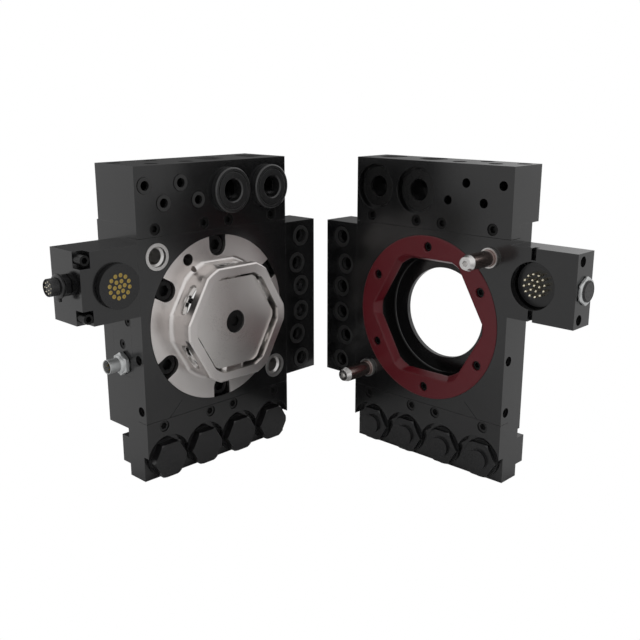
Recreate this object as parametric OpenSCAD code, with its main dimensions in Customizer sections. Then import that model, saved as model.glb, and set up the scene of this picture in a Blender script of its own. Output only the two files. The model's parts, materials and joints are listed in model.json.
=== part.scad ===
// Robotic tool changer with a hexagonal bolt-lock coupling: the master half,
// which stays on the robot's wrist, and the tool half, which it picks up.
// All sizes are in millimetres. Both halves are drawn in one coupling frame:
// X across the face, Y up and Z from the coupling plane into the half's own
// body. The master is then stood facing -Y and the tool half facing -X.

/* [Bodies] */
// Width of both bodies and of the blocks above and below them
body_w = 158.4; // [154:0.2:166]
// Height of the bodies above the coupling's axis
body_top = 87; // [85:0.5:92]
// Height of the bodies below the coupling's axis
body_bottom = 87; // [84:0.5:92]
// Depth of the master half's body
master_depth = 56; // [52:0.5:66]
// Depth of the tool half's body
tool_depth = 30.6; // [29:0.2:36]
// How far the bodies' faces lie behind the coupling plane
face_setback = 0.5; // [0.2:0.1:0.8]
// Distance across from the master's axis to the tool half's
tool_shift = 119.4; // [110:0.2:160]
// Distance in front of the master's face to the tool half's axis
tool_ahead = 129.3; // [125:0.1:180]

/* [Blocks] */
// Height of the fluid blocks' tops above the axis
block_top = 132.2; // [128:0.2:140]
// Depth of the master's fluid block
master_block_depth = 54; // [50:0.5:60]
// Depth of the tool half's fluid block
tool_block_depth = 40; // [38:0.5:44]
// Height by which the fluid block's lip laps over the body
top_lap = 10.6; // [9:0.2:12]
// Thickness of the fluid block's lip
top_lip = 13.5; // [12:0.5:16]
// Height by which the power block's lip laps over the body
bottom_lap = 10; // [9:0.2:12]
// Thickness of the power block's lip
bottom_lip = 12; // [11:0.5:15]
// Height of the power blocks' undersides below the axis
foot_bottom = 129.5; // [127:0.5:136]
// Depth of the power blocks
power_depth = 28; // [26:0.5:32]
// Height of the clamping bar behind a power block
bar_h = 24; // [18:0.5:26]
// Thickness of the clamping bar
bar_t = 10; // [6:0.5:14]
// Drop from the power block's top to the clamping bar
bar_drop = 8; // [6:0.5:12]
// Open seam between a lip's edge and the body
lip_seam = 0.3; // [0.1:0.05:0.5]
// Depth of the lips' screw heads below the faces
lip_screw_sink = 1.5; // [1:0.1:3]
// Width of the slanting seams in the bodies' lower corners
seam_w = 0.5; // [0.3:0.1:0.8]

/* [Coupling] */
// Diameter of the coupling flange and of the locking ring
flange_d = 142; // [140:0.5:144]
// Thickness of the coupling flange
flange_t = 14; // [12:0.5:16]
// Pitch circle of the robot's and the tool's fastening screws
bolt_circle = 125; // [124:0.2:126]
// Width of the flange's six open slots
slot_w = 17.7; // [17:0.1:19]
// Height of the hexagonal head above the flange
head_h = 26; // [24:0.5:28]
// Width of the head across its flats
head_flats = 97; // [95:0.2:99]
// Diameter over the head's turned corners
head_corner_d = 105.2; // [104:0.1:107]
// Diameter of the neck turned under the corners
neck_d = 101; // [99:0.5:103]
// Radius of the fillet at the foot of the head's flats
flat_fillet = 3.2; // [2.6:0.1:3.4]
// Radius of the fillet at the foot of the head's corners
corner_fillet = 4; // [3:0.1:6]
// Height of the head's overhanging corners
corner_h = 7; // [6:0.5:8]
// Chamfer round the head's front edge
head_chamfer = 1.2; // [0.6:0.1:2]
// Width of the hexagonal cup across its flats
cup_flats = 81; // [79:0.5:83]
// Diameter over the cup's rounded corners
cup_corner_d = 88; // [87:0.5:92]
// Depth of the cup's floor behind the flange's face
cup_sink = 3; // [2:0.2:4]
// Diameter of the dowel hole in the flange
dowel_d = 10; // [8:0.5:12]
// Diameter of the small hole beside the dowel hole
pilot_hole_d = 4.6; // [4:0.2:6]
// Distance of that hole from the coupling's axis
pilot_hole_r = 53; // [52.6:0.1:53.4]
// Diameter of the centring spigot and of the tool's centring bore
pilot_d = 80; // [76:0.5:84]
// Length of the centring spigot behind the master
pilot_h = 6; // [4:0.5:8]

/* [Locking mechanism] */
// Width of the cam across its flats at the front
cam_flats = 75; // [73:0.5:76]
// Diameter over the cam's corners
cam_corner_d = 84; // [82:0.5:86]
// Height of the cam's front above the flange when unlocked
cam_front = 21; // [20:0.2:23]
// Thickness of the cam
cam_t = 13.4; // [12.5:0.1:14]
// Outward travel of a bolt for each millimetre of the cam's travel
cam_slope = 0.45; // [0.4:0.01:0.48]
// Travel of the cam and the piston
cam_travel = 8; // [6:0.5:8]
// Diameter of the piston rod
rod_d = 30; // [26:0.5:34]
// Diameter of the drive cylinder
cylinder_d = 90; // [84:0.5:92]
// Depth of the cylinder behind the flange
cylinder_h = 28.5; // [27:0.5:30]
// Thickness of the drive piston
piston_t = 10; // [8:0.5:11]
// Width of the piston's seal
seal_w = 3; // [2.4:0.2:4]
// Depth of the piston's seal groove
seal_h = 2.4; // [1.8:0.2:3]
// Diameter of the cam screw's head
cam_screw_d = 19.5; // [18:0.5:22]
// Width of a lock bolt round the head
bolt_w = 26; // [24:0.5:28]
// Height of a lock bolt
bolt_h = 9.8; // [9:0.1:10]
// Distance of the bolts' lower faces from the coupling plane
bolt_z = 7.8; // [7.7:0.05:8.2]
// Width of the groove down the middle of each bolt
bolt_groove_w = 4.6; // [3:0.2:6]
// Depth of the groove in each bolt's nose
bolt_groove_d = 2; // [1:0.2:3]
// Radius of the bolts' barrel-shaped noses, seen along the coupling's axis
nose_bend = 40; // [30:1:48]
// Rounding of the noses' edges
nose_round = 3.5; // [2:0.1:4.5]
// Width of the neck of the keeper ribs that draw the bolts back
keeper_neck_w = 4.4; // [3.6:0.1:5]
// Width of the head of the keeper ribs
keeper_head_w = 9; // [8:0.2:11]
// Thickness of a keeper rib's neck and of its head
keeper_t = 1.1; // [1:0.1:1.2]

/* [Locking ring] */
// Thickness of the locking ring
ring_t = 7.5; // [7:0.1:7.6]
// Gap between the head's flats and the ring's mouth when coupled
mouth_gap = 0.2; // [0.1:0.05:0.3]
// How much wider the mouth's corners are at the front
mouth_flare = 4.5; // [3:0.1:5]
// Radius of the circle of the ring's screws
ring_screw_r = 61.6; // [61:0.1:62]
// Depth of the ring's screw heads below its face
ring_screw_sink = 2; // [1:0.1:2.4]
// Diameter of the chamber behind the ring
chamber_d = 109; // [108:0.5:112]
// Depth of the tool's threads in the tool half's back
tool_thread_l = 18; // [15:0.5:22]
// Depth of the chamber in the tool half
chamber_depth = 26.5; // [26.2:0.1:27.5]
// Chamfer round the chamber's floor
chamber_chamfer = 1.2; // [0.8:0.1:2]

/* [Alignment] */
// Width of body between the flange and the guide bushes
pin_wall = 3.9; // [3.4:0.1:4.4]
// Angle of the upper locating pin above the left of the axis
pin_angle_high = 44.6; // [43:0.1:46]
// Angle of the lower locating pin below the right of the axis
pin_angle_low = 42.4; // [41:0.1:44]
// Diameter of the locating pins
pin_d = 13; // [12:0.1:14]
// Length of the locating pins in front of the coupling plane
pin_reach = 34; // [30:0.5:36]
// Length of pin seated in the tool half
pin_root = 22; // [18:0.5:25]
// Diameter of the pins' shanks in the tool half
pin_root_d = 14; // [13.6:0.1:15]
// Length of the pins' tapered noses
pin_nose = 4.5; // [4:0.1:7]
// Diameter of the pin's tip
pin_tip_d = 10; // [8:0.1:11]
// Diameter of the collars round the pins
collar_d = 16.5; // [15.5:0.1:18]
// Height of the collars in front of the coupling plane
collar_h = 2.5; // [2:0.1:3]
// Outer diameter of the guide bushes
bush_d = 22; // [20:0.2:23]
// Length of the guide bushes
bush_l = 20; // [16:0.5:26]

/* [Fluid ports] */
// Height of the upper row of small ports
small_row_high = 117; // [115:0.2:119]
// Height of the lower row of small ports
small_row_low = 102.2; // [100:0.2:104]
// Sideways place of the outermost small port
small_port_x = -69.9; // [-71:0.1:-66]
// Sideways step from one small port to the next
small_port_step = 17.15; // [16:0.05:18]
// Diameter of the small ports' passages
small_port_d = 7.6; // [6:0.2:8]
// Diameter of the small ports' threads in the blocks' tops
small_thread_d = 11.8; // [10:0.2:13]
// Height of the row of large couplers
large_row = 107.5; // [106:0.2:109]
// Sideways place of the inner large coupler
large_port_x = 15; // [13:0.2:17]
// Sideways step between the large couplers
large_port_step = 43.8; // [42:0.2:45]
// Diameter of the large couplers' passages
large_port_d = 18.4; // [16:0.2:20]
// Diameter of the large ports' threads in the blocks' tops
large_thread_d = 24.2; // [22:0.2:26]
// Outer diameter of the large couplers
coupler_d = 38; // [36:0.2:40]
// Diameter of the couplers' roots in the block
coupler_root_d = 34; // [32:0.5:36]
// Depth of the couplers' roots in the block
coupler_root = 4; // [3:0.5:6]
// Radius of the groove in the couplers' faces
coupler_groove_r = 15; // [14:0.1:16]
// Width and depth of that groove
coupler_groove = 1.2; // [0.8:0.1:1.6]
// How far the large couplers stand out of the master
coupler_proud = 5.3; // [4:0.1:5.4]
// Depth of the tool half's recesses for the couplers
coupler_recess = 8; // [6:0.5:10]
// Thickness of the seats in those recesses
coupler_seat_t = 2.4; // [1.6:0.1:2.4]
// Depth of the threads in the blocks' tops
thread_l = 14; // [12:0.5:15]
// Depth of the front row of top ports
port_depth_front = 15; // [14:0.2:16]
// Depth of the master's back row of top ports
port_depth_back = 40.5; // [38:0.5:42]
// Depth of the tool half's back row of top ports
tool_port_depth_back = 29.5; // [28:0.5:31]
// Depth of the master's large top ports
large_depth = 26.5; // [24:0.5:29]
// Depth of the tool half's large top ports
tool_large_depth = 25; // [23:0.5:25]

/* [Port bank] */
// Width of the port banks beside the bodies
bank_w = 36.7; // [34:0.1:40]
// Height of the port banks above the axis
bank_top = 73.2; // [70:0.2:76]
// Height of the port banks below the axis
bank_bottom = 70; // [68:0.2:74]
// Depth of the port banks
bank_depth = 33; // [30:0.5:35]
// Distance from a body's side to the outer column of ports
port_column = 19; // [18:0.1:21]
// Sideways step between the two columns of ports
port_stagger = 5; // [4:0.1:6]
// Heights of the ports above and below the bank's middle
port_row_near = 12.1; // [11.6:0.1:12.6]
// Heights of the staggered ports above and below the bank's middle
port_row_mid = 34; // [33:0.1:35]
// Heights of the end ports above and below the bank's middle
port_row_far = 58.6; // [57:0.1:59]
// Diameter of the bank's passages
port_d = 9; // [8:0.1:9.6]
// Diameter of the passages' wide mouths
port_mouth_d = 12.6; // [11:0.1:13]
// Depth of the wide mouths behind the seals
port_mouth_l = 2.5; // [2:0.1:4]
// Outer diameter of the seals round the bank's ports
bank_seal_d = 18.8; // [17:0.1:19.4]
// Outer diameter of the seals round the small ports
seal_ring_d = 13; // [12:0.1:14]
// How far the small ports' seals stand out of the master's face
seal_proud = 0.8; // [0.5:0.1:0.9]
// Depth of the seals' seats
seal_seat = 2; // [1.5:0.1:3]
// Travel of the self-sealing poppets
poppet_travel = 3; // [2:0.2:4]

/* [Signal modules] */
// Height of the signal modules' undersides above the axis
signal_bottom = 14.9; // [13:0.1:17]
// Height of the signal modules
signal_h = 57.5; // [54:0.1:60]
// Width of the master's signal module
signal_w = 50.8; // [50:0.2:56]
// Depth of the master's signal module
signal_depth = 42.4; // [40:0.2:46]
// Width of the ear on the tool half's body
ear_w = 20.3; // [19.5:0.1:21.5]
// Width of the tool half's signal module
tool_signal_w = 36.6; // [34:0.2:40]
// Depth of the tool half's signal module
tool_signal_depth = 24.5; // [23:0.5:28]
// Sideways distance from a body's side to the contact disc's centre
contact_x = 20.6; // [20:0.1:21]
// Height of the contact disc's centre above the axis
contact_y = 43.2; // [42:0.1:45]
// Diameter of the contact disc
contact_d = 35.4; // [34:0.1:36]
// How far the contact disc stands out of the coupling plane
contact_proud = 4.2; // [3.8:0.1:4.4]
// Thickness of the contact disc and of the pin insert
contact_t = 8; // [7:0.2:9]
// Gap round the disc in the tool half's recess
contact_float = 1.2; // [0.8:0.1:1.6]
// Depth of the recess for the disc in the tool half
contact_recess = 9; // [8:0.1:10]
// Step between the rings of contacts
contact_step = 4.45; // [4.2:0.05:4.8]
// Turn of the rings of contacts
contact_turn = 7; // [0:1:15]
// Diameter of a contact pad
pad_d = 3.3; // [3:0.1:3.6]
// Depth of the dish in a contact pad
pad_dish = 0.4; // [0.2:0.1:0.6]
// Diameter of a spring pin
spring_pin_d = 1.9; // [1.6:0.1:2.2]
// Depth of the spring pins' tips behind the coupling plane
spring_pin_tip = 2.5; // [2:0.1:3.2]
// Travel of the spring pins
spring_pin_travel = 2; // [1.8:0.1:2.4]
// Width of the notches in the master module's corners
notch_w = 8.9; // [8.6:0.1:11]
// Height of the notches
notch_h = 12.6; // [10:0.1:14]
// Depth of the notches
notch_depth = 10.3; // [9:0.1:12]
// Width of the slots beside the tool half's module
side_slot_w = 4; // [3:0.2:5]
// Height of those slots
side_slot_h = 9.2; // [7:0.2:10]
// Depth of those slots
side_slot_depth = 6; // [4:0.5:9]
// Distance of the tool module's screws from its top and bottom
side_inset = 6.5; // [5.5:0.1:6.6]

/* [Connectors and panel] */
// Diameter of the round connectors' barrels
m12_d = 12; // [11.8:0.1:12.4]
// Width across the flats of the connectors' nuts
m12_flats = 18; // [17:0.5:20]
// Thickness of the connectors' nuts
m12_nut_h = 4.5; // [3:0.1:6]
// Wall of the connectors' barrels
connector_wall = 0.9; // [0.6:0.1:1.2]
// Diameter of the connectors' contact pins
contact_pin_d = 1.2; // [0.8:0.1:1.6]
// Length of the master's signal connector
plug_l = 16; // [14:0.5:20]
// Height of that connector above the axis
plug_y = 45.6; // [42:0.2:48]
// Diameter of the signal connector's knurled sleeve
plug_sleeve_d = 17.4; // [16:0.1:17.8]
// Length of the sleeve in front of the nut
plug_sleeve_l = 8; // [5:0.5:9]
// Length of the sensor connector
sensor_l = 20; // [16:0.5:24]
// Diameter of the tool half's connector
socket_d = 17; // [16:0.1:18]
// Width across the flats of that connector's nut
socket_flats = 20; // [19:0.1:22]
// Thickness of that connector's nut
socket_nut_h = 2.4; // [2:0.1:3]
// Length of the tool half's connector
socket_l = 3.5; // [3:0.1:5]
// Depth of the sensor panel's front edge behind the coupling plane
panel_front = 15.6; // [14:0.2:18]
// Width of the sensor panel
panel_w = 26.7; // [24:0.1:30]
// Height of the sensor panel
panel_h = 55; // [50:0.5:60]
// Thickness of the sensor panel
panel_t = 5; // [3:0.2:6]

/* [Power plugs] */
// Step between the power plugs
plug_step = 39.1; // [38.5:0.1:40]
// Height of the plugs' centres below the axis
plug_drop = 112.5; // [111:0.1:113]
// Diameter of the recesses round the plugs
plug_recess_d = 42.4; // [41:0.2:44]
// Depth of the recesses
plug_recess = 7; // [5:0.2:9]
// Width of the plugs across their flats
plug_flats = 29; // [27:0.2:31]
// How much wider than the flats the plugs' front faces are
plug_chamfer = 2; // [1:0.1:3]
// Diameter of the washer faces behind the plugs' hexagons
plug_washer_d = 33.6; // [32:0.2:36]
// Thickness of those washer faces
plug_washer_t = 2; // [1:0.1:3]
// How far the master's plugs stand out of the coupling plane
plug_proud = 3; // [1:0.2:4]
// How far the tool half's plugs stand out of the coupling plane
tool_plug_proud = 1.2; // [0.6:0.2:4]
// Depth of the fronts of the tool half's hexagons
tool_hex_depth = 1.2; // [0.6:0.2:3]
// Diameter of the bosses on the tool half's plugs
plug_boss_d = 17; // [14:0.5:20]
// Diameter of the plugs' shanks
plug_shank_d = 24; // [20:0.5:26]

/* [Fasteners and clearances] */
// Diameter of the robot screws
robot_screw_d = 10; // [8:0.5:10.5]
// Length of thread that the robot screws show behind the master
robot_thread = 15; // [10:0.5:20]
// Diameter of that thread
robot_thread_d = 9.5; // [7.5:0.1:9.8]
// Diameter of the lips' screws
lip_screw_d = 6; // [5:0.5:6]
// Sideways place of the outer lip screws
lip_screw_out = 62; // [60:0.5:64]
// Sideways place of the inner lip screws
lip_screw_in = 13; // [12:0.5:15]
// Diameter of the small screws
small_screw_d = 5; // [4:0.5:5]
// Height below the axis of the screws in the bodies' outer sides
side_screw_high = 23; // [20:0.5:26]
// Height below the axis of the lower pair of those screws
side_screw_low = 67; // [62:0.5:72]
// How far the small screws' heads lie below the surface
screw_sink = 2; // [1:0.5:2.5]
// How far a screw's hole runs on past its tip
hole_over = 1; // [0.5:0.1:1.5]
// Gap round a piece seated in its pocket
seat_gap = 0.1; // [0.05:0.05:0.2]
// Gap on each side of a sliding piece
slide_gap = 0.06; // [0.04:0.01:0.1]

/* [Hidden] */
$fn = 64;
// Place, slant and length of the seam in a body's lower left corner
corner_seam = [56, 43, 18];

BLACK = [0.10, 0.10, 0.11];
DARK = [0.06, 0.06, 0.06];
STEEL = [0.72, 0.69, 0.67];
RED = [0.36, 0.09, 0.12];
GOLD = [0.80, 0.62, 0.25];
GREY = [0.55, 0.56, 0.55];

half_w = body_w / 2;
bolt_r = bolt_circle / 2;
flange_r = flange_d / 2;
corner_z = head_h - corner_h;
cam_back = cam_front - cam_t;
nose_r = head_flats / 2 + mouth_gap - slide_gap;
piston_back = flange_t + cylinder_h - cam_travel - 0.5;
lip_high = body_top - top_lap / 2 + 0.8;
lip_low = -body_bottom + bottom_lap / 2 - 0.4;
socket_head = 1.6;
mouth = face_setback + seal_seat;
signal_top = signal_bottom + signal_h;
signal_screw_l = 2 * small_screw_d;
ring_screw_l = 2 * small_screw_d;
side_screw_l = half_w - sqrt(flange_r * flange_r - side_screw_high * side_screw_high)
    - screw_sink - small_screw_d - 1;
pin_r = flange_r + bush_d / 2 + pin_wall;
pin_spots = [pin_r * [-cos(pin_angle_high), sin(pin_angle_high)],
    pin_r * [cos(pin_angle_low), -sin(pin_angle_low)]];
ring_screws_at = [for (a = [30:60:330]) ring_screw_r * [cos(a), sin(a)]];
robot_screws_at = [for (a = [30:60:330]) bolt_r * [cos(a), sin(a)]];
lip_xs = [-lip_screw_out, -lip_screw_in, lip_screw_in, lip_screw_out];
plug_shank_l = plug_shank_d / 2;
plug_xs = [for (i = [-1.5, -0.5, 0.5, 1.5]) i * plug_step];
bank_middle = (bank_top - bank_bottom) / 2 - 0.9;
port_rows = [port_row_far, port_row_mid, port_row_near, -port_row_near, -port_row_mid, -port_row_far];
bank_ports = [for (i = [0:5]) [half_w + port_column - (i == 1 || i == 4 ? port_stagger : 0),
    bank_middle + port_rows[i]]];
small_ports = [for (i = [0:3])
    [small_port_x + i * small_port_step, i % 2 == 0 ? small_row_high : small_row_low]];
large_ports = [for (i = [0:1]) [large_port_x + i * large_port_step, large_row]];
contacts = concat([[0, 0]],
    [for (a = [0:60:300]) contact_step * [cos(a + contact_turn), sin(a + contact_turn)]],
    [for (a = [15:30:345]) 2 * contact_step * [cos(a + contact_turn), sin(a + contact_turn)]]);

// Placing of the two halves in the part's frame

module master_half() translate([0, -master_depth, 0]) rotate([90, 0, 0]) mirror([0, 0, 1]) children();

module master_face() translate([0, -master_depth, 0]) rotate([90, 0, 0]) children();

module tool_half() translate([tool_shift, -master_depth - tool_ahead, 0])
    rotate([0, 0, 90]) rotate([90, 0, 0]) children();

// Shapes that both halves share

module span(x, y, z) translate([x[0], y[0], z[0]]) cube([x[1] - x[0], y[1] - y[0], z[1] - z[0]]);

module bore(p, d, z0, z1) translate([p[0], p[1], z0]) cylinder(d = d, h = z1 - z0);

// A socket-head screw, its head's top at z = 0 and its shank going to +Z
module socket_screw(d, l) {
    difference() {
        union() {
            cylinder(d = socket_head * d, h = d);
            cylinder(d = d, h = d + l);
        }
        translate([0, 0, -1]) cylinder(d = d, h = 1 + d / 2, $fn = 6);
    }
}

// The hole for a socket-head screw whose head's top lies at depth z
module screw_hole(p, d, l, z) {
    bore(p, socket_head * d + 2 * seat_gap, -1, z + d);
    bore(p, d + 2 * seat_gap, z, z + d + l + hole_over);
}

module screw_set(spots, d, l, z) for (p = spots) translate([p[0], p[1], z]) socket_screw(d, l);

// A hexagonal solid: the first child's outline gives its three pairs of flats,
// the second, turned about the axis, its corners. Both are drawn at X > 0.
module hex_turned() {
    intersection() {
        rotate_extrude() children(1);
        for_flats() rotate([90, 0, 0]) linear_extrude(2 * flange_d, center = true) {
            children(0);
            mirror([1, 0]) children(0);
        }
    }
}

// The outline of a straight or tapered side from height z0 to z1
module side_outline(r0, z0, r1, z1) polygon([[0, z0], [r0, z0], [r1, z1], [0, z1]]);

// The outline of a concave fillet at the foot of a side at distance r
module foot_outline(r, fillet) difference() {
    square([r + fillet, fillet]);
    translate([r + fillet, fillet]) circle(fillet);
}

// The common part of a shape turned to each of the three pairs of flats
module for_flats() {
    intersection() {
        rotate([0, 0, 30]) children();
        rotate([0, 0, 90]) children();
        rotate([0, 0, 150]) children();
    }
}

// A stadium-shaped slug along +X, as wide and high as a lock bolt
module slug(w, h, l) rotate([90, 0, 90]) linear_extrude(l) {
    square([w - h, h], center = true);
    for (s = [-1, 1]) translate([s * (w - h) / 2, 0]) circle(d = h);
}

module body_blank(depth) {
    difference() {
        span([-half_w, half_w], [-body_bottom, body_top], [face_setback, depth]);
        span([-half_w - 1, half_w + 1], [body_top - top_lap - lip_seam, body_top + 1], [-1, top_lip]);
        span([-half_w - 1, half_w + 1], [-body_bottom - 1, bottom_lap + lip_seam - body_bottom], [-1, bottom_lip]);
        for (x = lip_xs) {
            screw_hole([x, lip_high], lip_screw_d, top_lip, lip_screw_sink);
            screw_hole([x, lip_low], lip_screw_d, bottom_lip, lip_screw_sink);
        }
        translate([-corner_seam[0], bottom_lap - body_bottom, -1]) rotate([0, 0, corner_seam[1]])
            cube([corner_seam[2], seam_w, 1 + face_setback + seam_w]);
    }
}

module fluid_block(depth, back_row, large_row_depth, seat_d, seat_depth) {
    difference() {
        union() {
            span([-half_w, half_w], [body_top, block_top], [face_setback, depth]);
            span([-half_w, half_w], [body_top - top_lap, body_top], [face_setback, top_lip]);
        }
        for (x = lip_xs) screw_hole([x, lip_high], lip_screw_d, top_lip, lip_screw_sink);
        for (i = [0:3]) {
            p = small_ports[i];
            z = i % 2 == 0 ? back_row : port_depth_front;
            bore(p, small_port_d, -1, z);
            top_port(p, z, small_port_d, small_thread_d);
        }
        for (p = large_ports) {
            bore(p, seat_d, -1, seat_depth);
            bore(p, large_port_d, -1, large_row_depth);
            top_port(p, large_row_depth, large_port_d, large_thread_d);
        }
    }
}

// A port that comes down from a block's top to the passage at p
module top_port(p, z, passage_d, thread_d) {
    translate([p[0], p[1], z]) rotate([-90, 0, 0]) cylinder(d = passage_d, h = block_top - p[1] + 1);
    translate([p[0], block_top - thread_l, z]) rotate([-90, 0, 0]) cylinder(d = thread_d, h = thread_l + 1);
}

module port_bank() {
    difference() {
        span([half_w, half_w + bank_w], [-bank_bottom, bank_top], [face_setback, bank_depth]);
        for (p = bank_ports) {
            bore(p, port_d, -1, bank_depth + 1);
            bore(p, bank_seal_d + 2 * seat_gap, -1, mouth);
            bore(p, port_mouth_d, -1, mouth + port_mouth_l);
            bore(p, small_thread_d, bank_depth - thread_l, bank_depth + 1);
        }
    }
}

module power_block() {
    bar_top = -body_bottom - bar_drop;
    difference() {
        union() {
            span([-half_w, half_w], [-foot_bottom, -body_bottom], [face_setback, power_depth]);
            span([-half_w, half_w], [-body_bottom, bottom_lap - body_bottom], [face_setback, bottom_lip]);
            span([-half_w, half_w], [bar_top - bar_h, bar_top], [power_depth, power_depth + bar_t]);
        }
        for (x = lip_xs) screw_hole([x, lip_low], lip_screw_d, bottom_lip, lip_screw_sink);
        span([-half_w - 1, half_w + 1], [-foot_bottom - 1, -plug_drop], [-1, plug_recess]);
        for (x = plug_xs) {
            bore([x, -plug_drop], plug_recess_d, -1, plug_recess);
            bore([x, -plug_drop], plug_shank_d + 2 * seat_gap, -1, plug_recess + plug_shank_l + hole_over);
        }
    }
}

// A round connector pointing to +Z: nut, barrel, and a recess with contact pins.
// A child is added round its barrel.
module round_connector(l, nut_h, flats, barrel_d, barrel_c) {
    recess = l - nut_h / 2;
    color(barrel_c) {
        difference() {
            union() {
                rotate([0, 0, 30]) cylinder(d = flats / cos(30), h = nut_h, $fn = 6);
                cylinder(d = barrel_d, h = l);
                children();
            }
            translate([0, 0, l - recess]) cylinder(d = barrel_d - 4 * connector_wall, h = recess + 1);
            translate([0, 0, l - connector_wall]) cylinder(d = barrel_d - 2 * connector_wall, h = 2);
        }
        for (a = [0:90:270]) rotate([0, 0, a]) translate([barrel_d / 5, 0, l - recess - 1])
            cylinder(d = contact_pin_d, h = recess);
    }
}

// Master half

module master_body() color(BLACK) master_half() {
    difference() {
        union() {
            body_blank(master_depth);
            bore([0, 0], pilot_d, master_depth, master_depth + pilot_h);
        }
        bore([0, 0], flange_d + 2 * seat_gap, -1, flange_t);
        bore([0, 0], cylinder_d, flange_t - 1, flange_t + cylinder_h);
        for (p = robot_screws_at) {
            bore(p, socket_head * robot_screw_d + 2 * seat_gap, -1, flange_t);
            bore(p, robot_screw_d + 1, flange_t - 1, master_depth + 1);
        }
        bore(bolt_r * [cos(120), sin(120)], dowel_d, flange_t - 1, master_depth + 1);
        for (p = pin_spots) {
            bore(p, bush_d + 2 * seat_gap, -1, bush_l);
            bore(p, pin_d + 2, bush_l - 1, pin_reach + 4);
        }
        span([-half_w - 1, panel_t - half_w], [signal_bottom - panel_h, signal_bottom],
            [panel_front, panel_front + panel_w]);
        side_holes();
        panel_spots() cylinder(d = small_screw_d + 2 * seat_gap, h = panel_t + 3 * small_screw_d);
    }
}

// Places on a body's left side, their Z going into the body
module side_spots() for (y = [-side_screw_high, -side_screw_low])
    translate([-half_w, y, small_screw_d + 2]) rotate([0, 90, 0]) children();

module side_holes() side_spots() {
    translate([0, 0, -1]) cylinder(d = socket_head * small_screw_d + 2 * seat_gap,
        h = 1 + screw_sink + small_screw_d);
    cylinder(d = small_screw_d + 2 * seat_gap, h = screw_sink + small_screw_d + side_screw_l + 0.5);
}

module side_screws() side_spots() translate([0, 0, screw_sink]) socket_screw(small_screw_d, side_screw_l);

module panel_spots() for (p = [[7.5, 4.4], [28.2, 13.4]])
    translate([-half_w, signal_bottom - p[0], panel_front + p[1]]) rotate([0, 90, 0]) children();

module coupling_flange() color(STEEL) master_face() {
    difference() {
        union() {
            translate([0, 0, -flange_t]) cylinder(d = flange_d, h = flange_t);
            hex_turned() {
                union() {
                    square([head_flats / 2, head_h - head_chamfer]);
                    side_outline(head_flats / 2, head_h - head_chamfer, head_flats / 2 - head_chamfer, head_h);
                    foot_outline(head_flats / 2, flat_fillet);
                }
                union() {
                    square([neck_d / 2, corner_z]);
                    translate([0, corner_z]) square([head_corner_d / 2, corner_h - head_chamfer]);
                    side_outline(head_corner_d / 2, head_h - head_chamfer, head_corner_d / 2 - head_chamfer, head_h);
                    foot_outline(neck_d / 2, corner_fillet);
                }
            }
        }
        translate([0, 0, -cup_sink]) hex_turned() {
            square([cup_flats / 2, head_h + cup_sink + 1]);
            square([cup_corner_d / 2, head_h + cup_sink + 1]);
        }
        for (a = [30:60:330]) rotate([0, 0, a]) {
            translate([bolt_r, 0, -flange_t - 1]) cylinder(d = slot_w, h = flange_t + 2);
            translate([bolt_r, -slot_w / 2, -flange_t - 1]) cube([slot_w, slot_w, flange_t + 2]);
            translate([cup_flats / 2 - 1, 0, bolt_z + bolt_h / 2])
                slug(bolt_w + 2 * slide_gap, bolt_h + 2 * slide_gap, (head_flats - cup_flats) / 2 + corner_fillet + 1);
        }
        translate([0, 0, -flange_t - 1]) cylinder(d = rod_d + 2 * slide_gap, h = flange_t + 2);
        rotate([0, 0, 120]) {
            translate([bolt_r, 0, -flange_t - 1]) cylinder(d = dowel_d, h = flange_t + 2);
            translate([pilot_hole_r, 0, -flange_t / 2]) cylinder(d = pilot_hole_d, h = flange_t);
        }
    }
}

// The axis frame of one pair of cam and bolt faces: X square to the face, Z up it
module cam_face(gap) translate([cam_flats / 2 + gap, 0, cam_front]) rotate([0, atan(cam_slope), 0]) children();

module keeper(gap) cam_face(0) {
    l = cam_t / cos(atan(cam_slope));
    translate([-1, -keeper_neck_w / 2 - gap, -l - 1 - 2 * gap])
        cube([1 + keeper_t + gap, keeper_neck_w + 2 * gap, l - 1 + 4 * gap]);
    translate([keeper_t - gap, -keeper_head_w / 2 - gap, -l - 1 - 2 * gap])
        cube([keeper_t + 2 * gap, keeper_head_w + 2 * gap, l - 1 + 4 * gap]);
}

module locking_cam() color(STEEL) master_face() {
    difference() {
        union() {
            hex_turned() {
                side_outline(cam_flats / 2 - cam_slope * cam_t, cam_back, cam_flats / 2, cam_front);
                side_outline(cam_corner_d / 2 - cam_slope * cam_t, cam_back, cam_corner_d / 2, cam_front);
            }
            intersection() {
                for (a = [30:60:330]) rotate([0, 0, a]) keeper(0);
                translate([0, 0, cam_back]) cylinder(d = cup_flats, h = cam_t);
            }
            translate([0, 0, -piston_back + piston_t]) cylinder(d = rod_d, h = cam_back + piston_back - piston_t + 1);
        }
        translate([0, 0, cam_front - cam_screw_d / 3]) cylinder(d = cam_screw_d + 2 * seat_gap, h = cam_screw_d);
        translate([0, 0, -piston_back]) cylinder(d = cam_screw_d / 2 + 2 * seat_gap, h = cam_front + piston_back);
    }
}

module cam_screw() color(DARK) master_face() {
    top = cam_front - 1.5;
    head = cam_screw_d / 3 - 1.5;
    difference() {
        union() {
            translate([0, 0, top - head]) cylinder(d = cam_screw_d, h = head);
            translate([0, 0, -piston_back + 2]) cylinder(d = cam_screw_d / 2, h = top + piston_back - 3);
        }
        translate([0, 0, top - head / 2]) cylinder(d = cam_screw_d / 2, h = head, $fn = 6);
    }
}

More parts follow.
